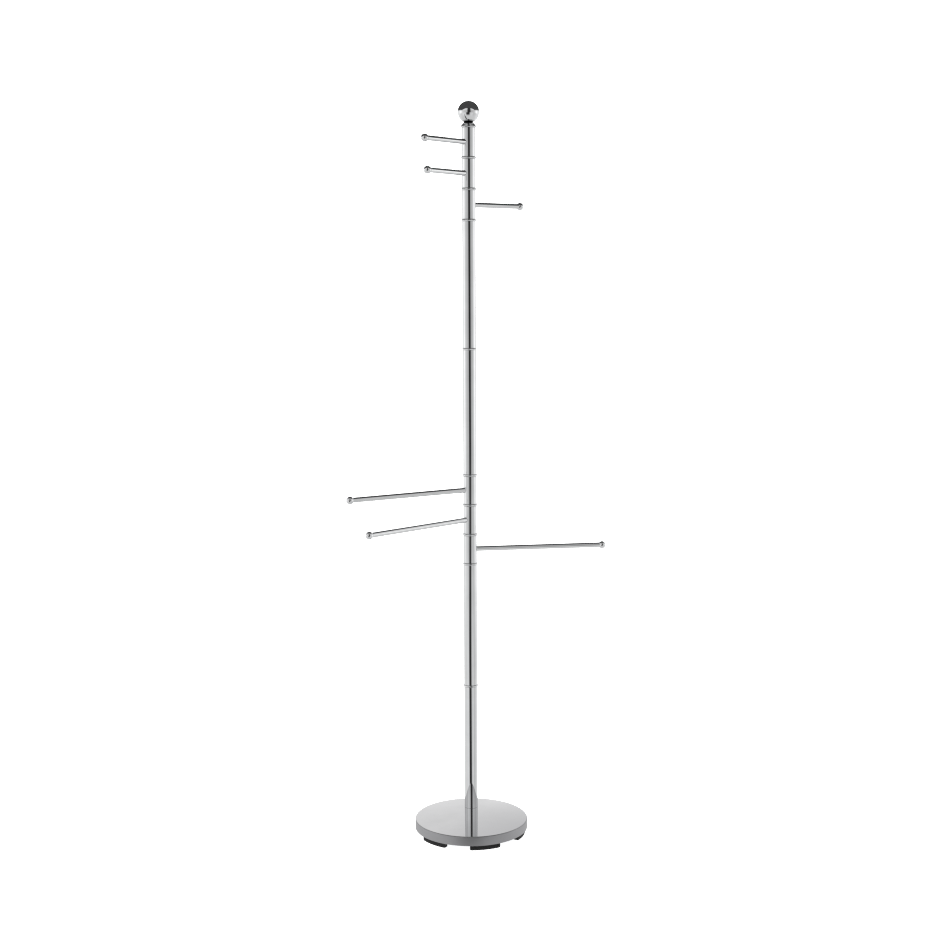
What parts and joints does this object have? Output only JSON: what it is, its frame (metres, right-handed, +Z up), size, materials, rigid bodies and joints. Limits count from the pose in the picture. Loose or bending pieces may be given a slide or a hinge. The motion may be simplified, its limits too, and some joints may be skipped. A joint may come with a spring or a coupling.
{
  "type": "standing coat rack",
  "caption": "Standing coat rack: a stacked tube pole with bead rings and a ball on top, straight ball-ended arms that swivel around it, and a round weighted foot on rubber pads.",
  "frame": {"origin": "where the pole's axis meets the floor", "axes": "+Z up along the pole; -Y is the front, towards which the round foot is set forward of the pole; +X is to the right seen from the front"},
  "size_m": [0.6025, 0.3293, 1.6999],
  "materials": {
    "polished_tube": "mirror-bright plated steel tube",
    "polished_fittings": "mirror-bright plated turned steel",
    "polished_base": "polished stainless pressing, soft reflection",
    "zinc_steel": "zinc plated",
    "cast_iron": "as cast, painted dark",
    "black_rubber": "matt moulded",
    "nylon": "natural nylon"
  },
  "bodies": {
    "stand": {"base_cover": "polished_base", "base_weight": "cast_iron", "base_plate": "zinc_steel", "base_bolt": "zinc_steel", "base_washer": "zinc_steel", "rubber_pad_1": "black_rubber", "rubber_pad_2": "black_rubber", "rubber_pad_3": "black_rubber", "rubber_pad_4": "black_rubber", "rubber_pad_5": "black_rubber", "rubber_pad_6": "black_rubber", "pole_tube_1": "polished_tube", "pole_tube_2": "polished_tube", "pole_tube_3": "polished_tube", "pole_tube_4": "polished_tube", "tube_plugs": "zinc_steel", "joint_studs": "zinc_steel", "bead_ring_1": "polished_fittings", "bead_ring_2": "polished_fittings", "bead_ring_3": "polished_fittings", "bead_ring_4": "polished_fittings", "bead_ring_5": "polished_fittings", "bead_ring_6": "polished_fittings", "bead_ring_7": "polished_fittings", "bead_ring_8": "polished_fittings", "bead_ring_9": "polished_fittings", "lower_spindle": "zinc_steel", "upper_spindle": "zinc_steel", "top_cap": "polished_fittings", "finial_ball": "polished_fittings"},
    "short_1": {"short_1_sleeve": "polished_tube", "short_1_bushes": "nylon", "short_1_rod": "polished_fittings", "short_1_nut": "zinc_steel", "short_1_tip": "polished_fittings"},
    "short_2": {"short_2_sleeve": "polished_tube", "short_2_bushes": "nylon", "short_2_rod": "polished_fittings", "short_2_nut": "zinc_steel", "short_2_tip": "polished_fittings"},
    "short_3": {"short_3_sleeve": "polished_tube", "short_3_bushes": "nylon", "short_3_rod": "polished_fittings", "short_3_nut": "zinc_steel", "short_3_tip": "polished_fittings"},
    "long_1": {"long_1_sleeve": "polished_tube", "long_1_bushes": "nylon", "long_1_rod": "polished_fittings", "long_1_nut": "zinc_steel", "long_1_tip": "polished_fittings"},
    "long_2": {"long_2_sleeve": "polished_tube", "long_2_bushes": "nylon", "long_2_rod": "polished_fittings", "long_2_nut": "zinc_steel", "long_2_tip": "polished_fittings"},
    "long_3": {"long_3_sleeve": "polished_tube", "long_3_bushes": "nylon", "long_3_rod": "polished_fittings", "long_3_nut": "zinc_steel", "long_3_tip": "polished_fittings"}
  },
  "joints": [
    {"name": "short_1_swivel", "type": "hinge", "parent": "stand", "child": "short_1", "pos_m": [0, 0, 1.60725], "axis": [0, 0, 1], "continuous": true},
    {"name": "short_2_swivel", "type": "hinge", "parent": "stand", "child": "short_2", "pos_m": [0, 0, 1.53675], "axis": [0, 0, 1], "continuous": true},
    {"name": "short_3_swivel", "type": "hinge", "parent": "stand", "child": "short_3", "pos_m": [0, 0, 1.46625], "axis": [0, 0, 1], "continuous": true},
    {"name": "long_1_swivel", "type": "hinge", "parent": "stand", "child": "long_1", "pos_m": [0, 0, 0.80575], "axis": [0, 0, 1], "continuous": true},
    {"name": "long_2_swivel", "type": "hinge", "parent": "stand", "child": "long_2", "pos_m": [0, 0, 0.73525], "axis": [0, 0, 1], "continuous": true},
    {"name": "long_3_swivel", "type": "hinge", "parent": "stand", "child": "long_3", "pos_m": [0, 0, 0.66475], "axis": [0, 0, 1], "continuous": true}
  ]
}
